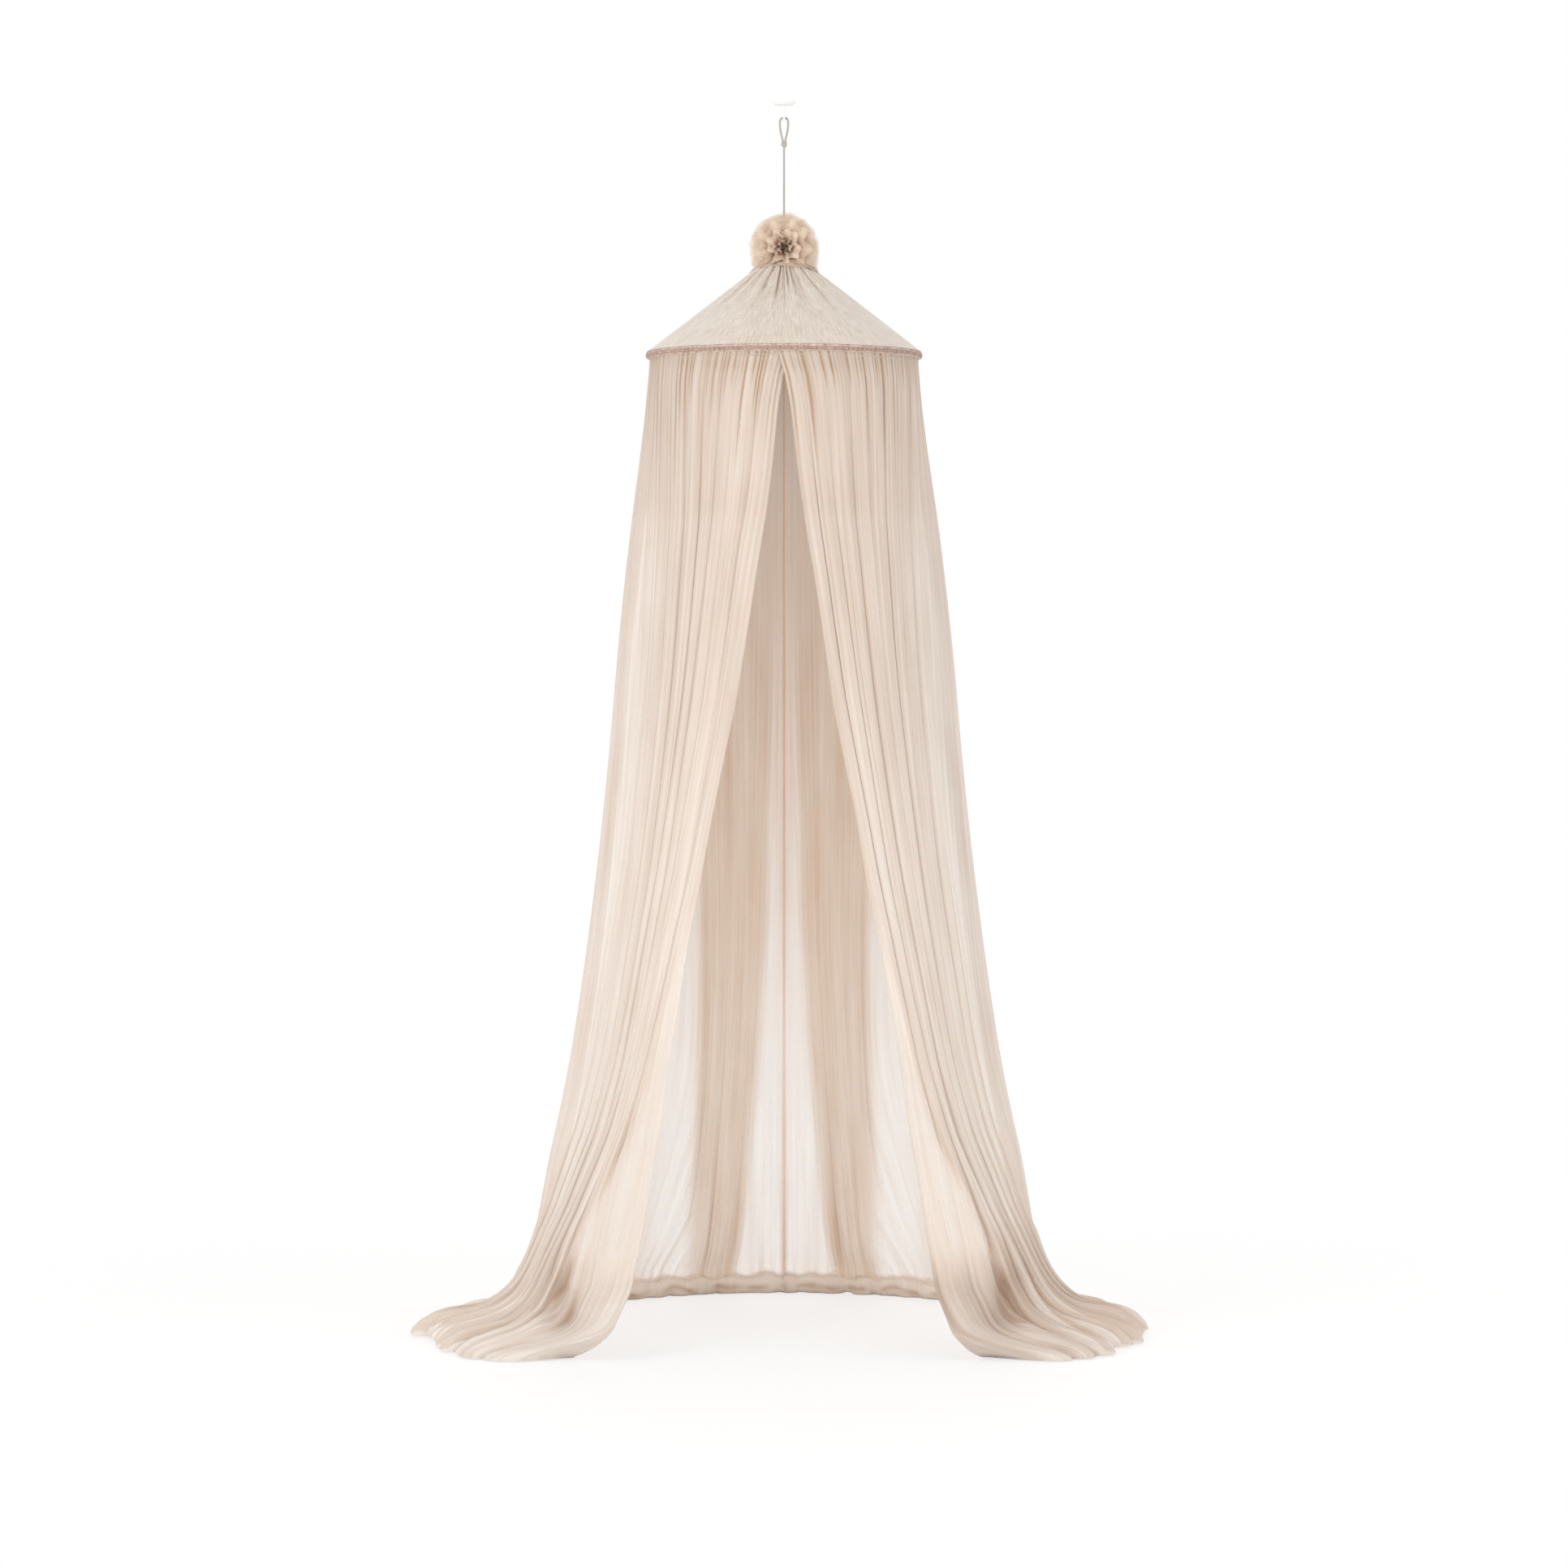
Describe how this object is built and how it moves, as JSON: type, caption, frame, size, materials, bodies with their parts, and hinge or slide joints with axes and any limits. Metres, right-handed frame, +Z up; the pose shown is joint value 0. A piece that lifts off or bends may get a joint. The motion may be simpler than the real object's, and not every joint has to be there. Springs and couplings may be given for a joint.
{
  "type": "bed crown canopy",
  "caption": "Round bed canopy with a gathered cone crown on a hoop, a ruffled pompom and long sheer curtains that part at the front, hung by a cord.",
  "frame": {"origin": "middle of the ceiling plate's top face, at the ceiling", "axes": "+Z up into the ceiling, the curtains' front opening faces -Y, +X to the right seen from the front"},
  "size_m": [1.4738, 1.0681, 2.4697],
  "materials": {
    "tulle": "sheer matt net, warm beige",
    "crown_cloth": "matt cotton voile, gathered at the neck",
    "lining_cloth": "matt cotton",
    "casing_cloth": "matt cotton, rolled round the hoop",
    "pompom_tulle": "ruffled net petals",
    "cord": "twisted cotton cord",
    "cotton_tape": "woven cotton tape",
    "white_enamel": "satin white enamel",
    "hoop_steel": "zinc-plated wire and sleeve",
    "beech": "sanded, unvarnished"
  },
  "bodies": {
    "ceiling_fitting": {"ceiling_plate": "white_enamel", "ceiling_hook": "white_enamel"},
    "cord": {"cord_loop": "cord", "loop_knot": "cord", "hanging_cord": "cord", "stopper_knot": "cord"},
    "crown": {"hoop": "hoop_steel", "hoop_sleeve": "hoop_steel", "hoop_casing": "casing_cloth", "crown_cover": "crown_cloth", "crown_lining": "lining_cloth", "apex_washer": "beech", "support_tape_1": "cotton_tape", "support_tape_2": "cotton_tape", "support_tape_3": "cotton_tape", "support_tape_4": "cotton_tape", "neck_binding": "casing_cloth", "pompom_core": "pompom_tulle", "pompom": "pompom_tulle", "heading_tape": "cotton_tape", "back_curtain_left": "tulle", "back_curtain_right": "tulle"},
    "left_flap": {"left_curtain": "tulle"},
    "right_flap": {"right_curtain": "tulle"}
  },
  "joints": [
    {"name": "canopy_swing", "type": "hinge", "parent": "ceiling_fitting", "child": "cord", "pos_m": [0, 0, -0.037], "axis": [0, 1, 0], "range_deg": [-1.5, 1.5]},
    {"name": "canopy_turn", "type": "hinge", "parent": "cord", "child": "crown", "pos_m": [0, 0, -0.3], "axis": [0, 0, 1], "range_deg": [-180, 180]},
    {"name": "left_flap_swing", "type": "hinge", "parent": "crown", "child": "left_flap", "pos_m": [0, 0, -0.5], "axis": [0, 0, -1], "range_deg": [-8, 15]},
    {"name": "right_flap_swing", "type": "hinge", "parent": "crown", "child": "right_flap", "pos_m": [0, 0, -0.5], "axis": [0, 0, 1], "range_deg": [-8, 15]}
  ]
}
